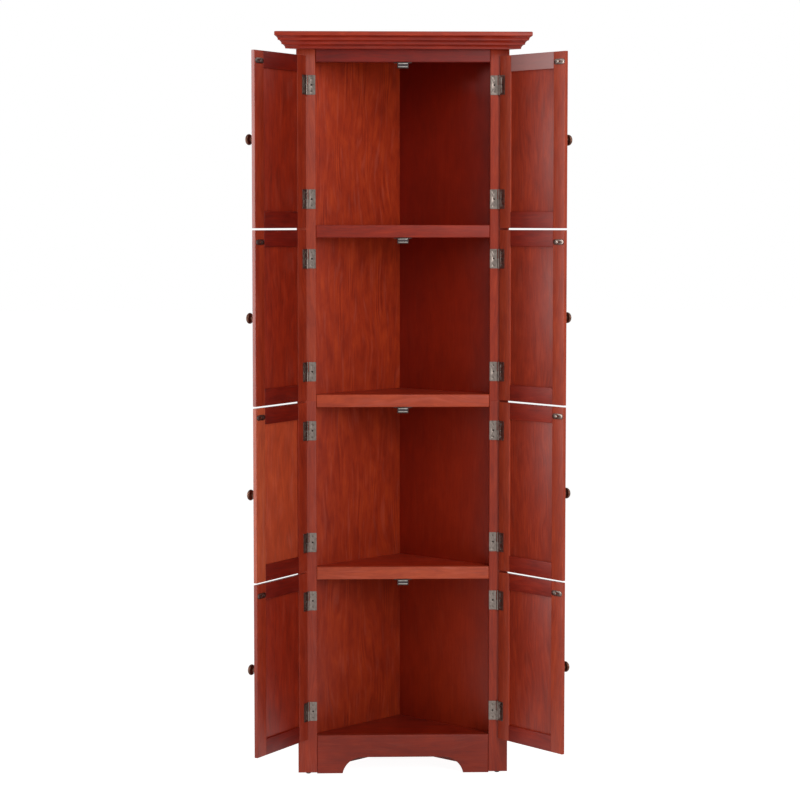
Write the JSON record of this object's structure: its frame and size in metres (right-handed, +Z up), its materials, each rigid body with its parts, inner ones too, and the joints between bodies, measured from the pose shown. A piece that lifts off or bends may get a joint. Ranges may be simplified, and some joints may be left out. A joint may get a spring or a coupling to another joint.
{
  "type": "corner storage cabinet",
  "caption": "Tall three-sided corner cabinet with a moulded crown, fixed shelves, an arched base and pairs of small panelled doors on butt hinges, held by magnetic catches.",
  "frame": {"origin": "on the floor, in the middle of the underside of the glide at the rear corner", "axes": "+Z up along the height, -Y out of the cabinet's open front, +X to the right as seen from the front"},
  "size_m": [0.7774, 0.4644, 1.829],
  "materials": {
    "stained_wood": "satin cherry stain",
    "stained_veneer": "satin cherry stain",
    "pewter_steel": "antique pewter plate",
    "bronze_metal": "dark bronze",
    "catch_plastic": "moulded dark brown",
    "catch_steel": "zinc plated",
    "glide_plastic": "moulded black"
  },
  "bodies": {
    "cabinet": {"left_post": "stained_wood", "right_post": "stained_wood", "left_side_panel": "stained_veneer", "right_side_panel": "stained_veneer", "top_board": "stained_wood", "crown_moulding": "stained_wood", "top_rail": "stained_wood", "upper_shelf_rail": "stained_wood", "middle_shelf_rail": "stained_wood", "lower_shelf_rail": "stained_wood", "apron": "stained_wood", "upper_shelf": "stained_veneer", "middle_shelf": "stained_veneer", "lower_shelf": "stained_veneer", "bottom_shelf": "stained_veneer", "catch_housings": "catch_plastic", "catch_magnets": "catch_steel", "post_hinge_leaves": "pewter_steel", "hinge_pins": "pewter_steel", "floor_glides": "glide_plastic"},
    "bottom_left_door": {"bottom_left_door_frame": "stained_wood", "bottom_left_door_panel": "stained_veneer", "bottom_left_knob": "bronze_metal", "bottom_left_hinge_leaves": "pewter_steel", "bottom_left_strike_plate": "pewter_steel"},
    "bottom_right_door": {"bottom_right_door_frame": "stained_wood", "bottom_right_door_panel": "stained_veneer", "bottom_right_knob": "bronze_metal", "bottom_right_hinge_leaves": "pewter_steel", "bottom_right_strike_plate": "pewter_steel"},
    "lower_left_door": {"lower_left_door_frame": "stained_wood", "lower_left_door_panel": "stained_veneer", "lower_left_knob": "bronze_metal", "lower_left_hinge_leaves": "pewter_steel", "lower_left_strike_plate": "pewter_steel"},
    "lower_right_door": {"lower_right_door_frame": "stained_wood", "lower_right_door_panel": "stained_veneer", "lower_right_knob": "bronze_metal", "lower_right_hinge_leaves": "pewter_steel", "lower_right_strike_plate": "pewter_steel"},
    "upper_left_door": {"upper_left_door_frame": "stained_wood", "upper_left_door_panel": "stained_veneer", "upper_left_knob": "bronze_metal", "upper_left_hinge_leaves": "pewter_steel", "upper_left_strike_plate": "pewter_steel"},
    "upper_right_door": {"upper_right_door_frame": "stained_wood", "upper_right_door_panel": "stained_veneer", "upper_right_knob": "bronze_metal", "upper_right_hinge_leaves": "pewter_steel", "upper_right_strike_plate": "pewter_steel"},
    "top_left_door": {"top_left_door_frame": "stained_wood", "top_left_door_panel": "stained_veneer", "top_left_knob": "bronze_metal", "top_left_hinge_leaves": "pewter_steel", "top_left_strike_plate": "pewter_steel"},
    "top_right_door": {"top_right_door_frame": "stained_wood", "top_right_door_panel": "stained_veneer", "top_right_knob": "bronze_metal", "top_right_hinge_leaves": "pewter_steel", "top_right_strike_plate": "pewter_steel"}
  },
  "joints": [
    {"name": "bottom_left_door_hinge", "type": "hinge", "parent": "cabinet", "child": "bottom_left_door", "pos_m": [-0.2351, -0.25376, 0.297], "axis": [0, 0, -1], "range_deg": [-121, 9]},
    {"name": "bottom_right_door_hinge", "type": "hinge", "parent": "cabinet", "child": "bottom_right_door", "pos_m": [0.2351, -0.25376, 0.297], "axis": [0, 0, 1], "range_deg": [-127.5, 2.5]},
    {"name": "lower_left_door_hinge", "type": "hinge", "parent": "cabinet", "child": "lower_left_door", "pos_m": [-0.2351, -0.25376, 0.7195], "axis": [0, 0, -1], "range_deg": [-121, 9]},
    {"name": "lower_right_door_hinge", "type": "hinge", "parent": "cabinet", "child": "lower_right_door", "pos_m": [0.2351, -0.25376, 0.7195], "axis": [0, 0, 1], "range_deg": [-127.5, 2.5]},
    {"name": "upper_left_door_hinge", "type": "hinge", "parent": "cabinet", "child": "upper_left_door", "pos_m": [-0.2351, -0.25376, 1.142], "axis": [0, 0, -1], "range_deg": [-121, 9]},
    {"name": "upper_right_door_hinge", "type": "hinge", "parent": "cabinet", "child": "upper_right_door", "pos_m": [0.2351, -0.25376, 1.142], "axis": [0, 0, 1], "range_deg": [-127.5, 2.5]},
    {"name": "top_left_door_hinge", "type": "hinge", "parent": "cabinet", "child": "top_left_door", "pos_m": [-0.2351, -0.25376, 1.5645], "axis": [0, 0, -1], "range_deg": [-121, 9]},
    {"name": "top_right_door_hinge", "type": "hinge", "parent": "cabinet", "child": "top_right_door", "pos_m": [0.2351, -0.25376, 1.5645], "axis": [0, 0, 1], "range_deg": [-127.5, 2.5]}
  ]
}
